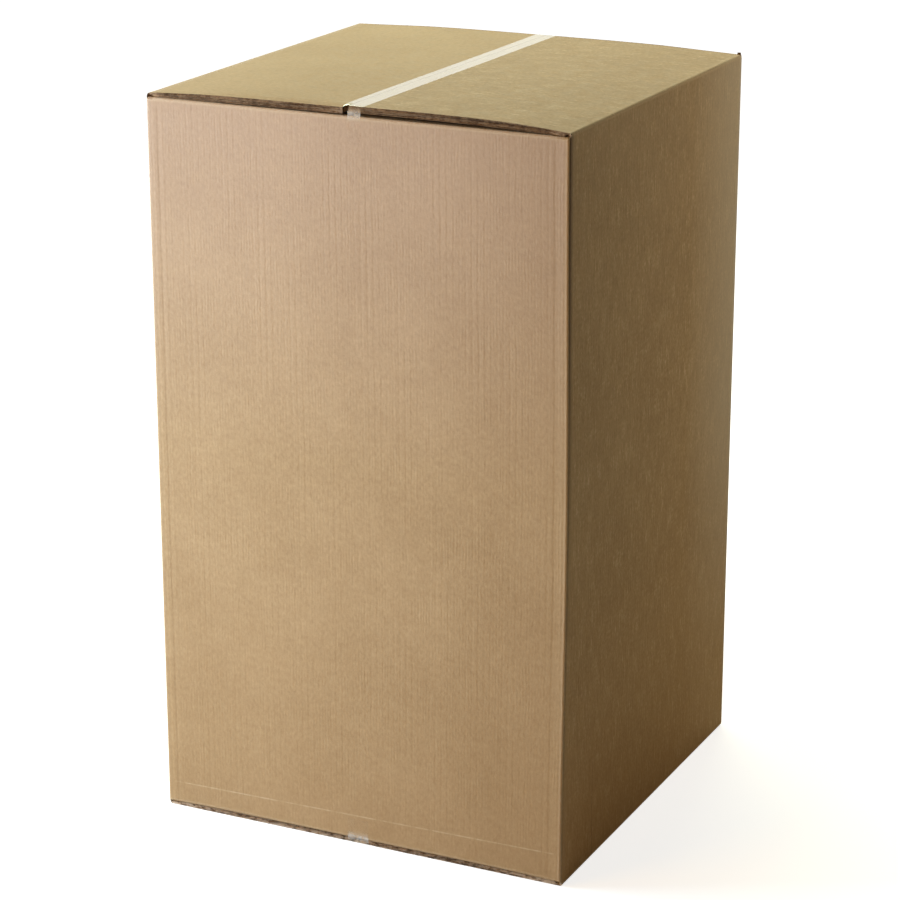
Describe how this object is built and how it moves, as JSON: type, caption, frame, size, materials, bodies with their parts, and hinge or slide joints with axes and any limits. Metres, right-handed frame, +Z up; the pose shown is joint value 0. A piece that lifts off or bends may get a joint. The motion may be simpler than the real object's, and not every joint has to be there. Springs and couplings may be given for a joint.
{
  "type": "moving box",
  "caption": "Tall closed moving box of double-wall corrugated board, its flaps folded shut and held by clear tape over the seams.",
  "frame": {"origin": "on the floor under the middle of the box's overall outline", "axes": "+Z up along the box's height, -Y out of the front panel, +X out of the right panel; the top seam runs front to back, along Y"},
  "size_m": [0.4728, 0.4706, 0.7969],
  "materials": {
    "kraft_board": "matt brown kraft liner",
    "clear_tape": "glossy see-through film"
  },
  "bodies": {
    "root": {"carton": "kraft_board", "top_tape": "clear_tape", "bottom_tape": "clear_tape"}
  },
  "joints": []
}
